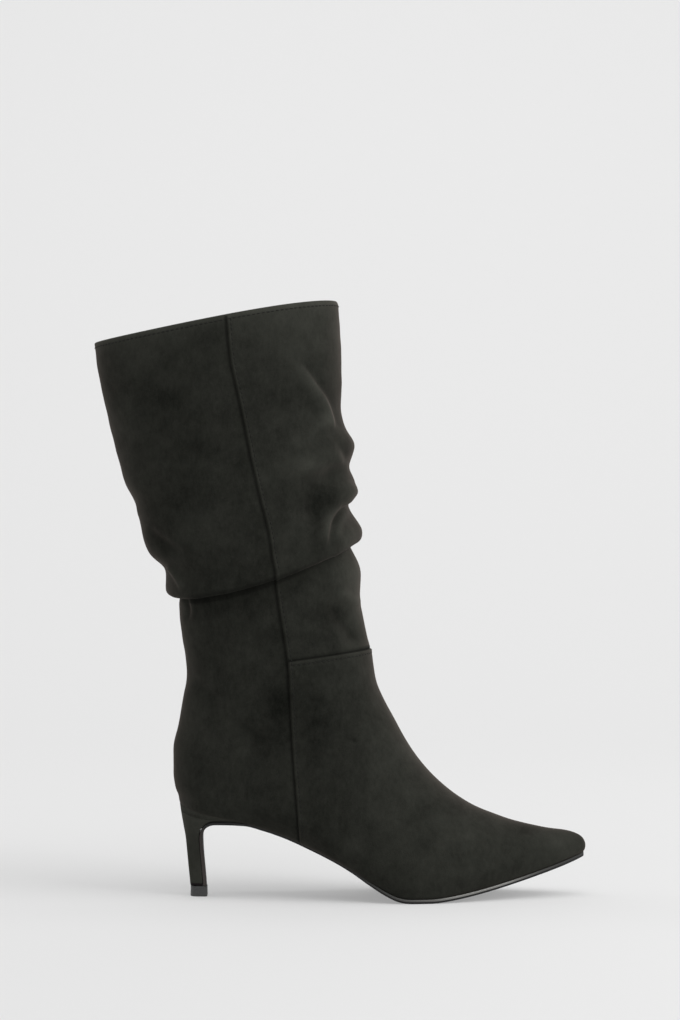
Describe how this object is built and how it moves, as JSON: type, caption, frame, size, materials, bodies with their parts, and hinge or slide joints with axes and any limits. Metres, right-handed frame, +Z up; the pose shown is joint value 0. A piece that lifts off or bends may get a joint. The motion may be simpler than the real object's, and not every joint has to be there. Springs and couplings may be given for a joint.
{
  "type": "slouch boot",
  "caption": "Black suede-finish pull-on boot for the right foot, with a slack slouched shaft, a pointed toe and a slim covered heel.",
  "frame": {"origin": "on the floor, under the middle of the whole boot's bounding box", "axes": "+X from the heel to the toe, +Y to the inner (medial) side of the right foot, +Z up from the floor"},
  "size_m": [0.305, 0.095, 0.3681],
  "materials": {
    "suede": "matte napped suede",
    "covered_heel": "matte napped suede over a hard core",
    "sole": "smooth, edge half gloss",
    "sock": "matte",
    "tip": "matte"
  },
  "bodies": {
    "root": {"upper": "suede", "outsole": "sole", "insole": "sock", "heel": "covered_heel", "top_lift": "tip"}
  },
  "joints": []
}
